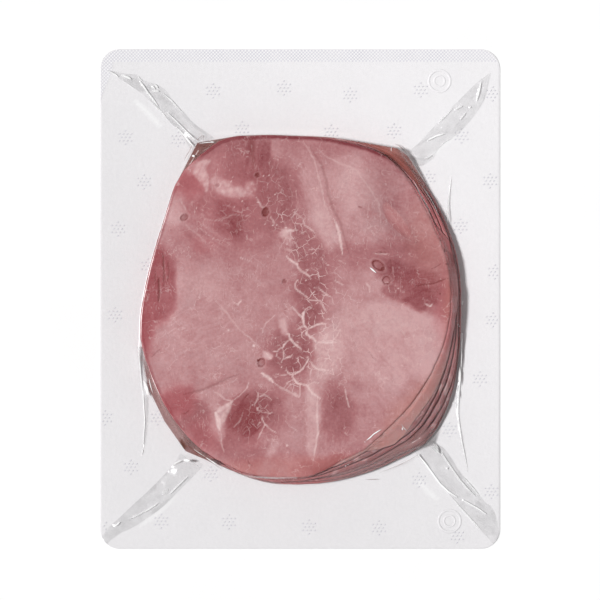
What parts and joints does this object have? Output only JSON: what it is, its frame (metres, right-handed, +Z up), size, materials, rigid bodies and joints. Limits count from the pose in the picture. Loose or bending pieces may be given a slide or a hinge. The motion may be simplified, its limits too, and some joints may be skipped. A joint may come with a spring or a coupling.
{
  "type": "vacuum pack of sliced ham",
  "caption": "Flat rounded-corner vacuum pack: a leaning stack of round cooked ham slices on a white backing, under clear film drawn tight and folded into webs at the corners.",
  "frame": {"origin": "middle of the backing sheet's underside, on the surface that the pack lies on", "axes": "+X towards the pack's right-hand side, +Y towards its top edge, +Z up out of the clear side"},
  "size_m": [0.16, 0.2, 0.0127],
  "materials": {
    "backing": "satin",
    "film": "gloss",
    "ham": "satin"
  },
  "bodies": {
    "root": {"backing_sheet": "backing", "clear_film": "film", "ham_slice_1": "ham", "ham_slice_2": "ham", "ham_slice_3": "ham", "ham_slice_4": "ham", "ham_slice_5": "ham", "ham_slice_6": "ham", "ham_slice_7": "ham"}
  },
  "joints": []
}
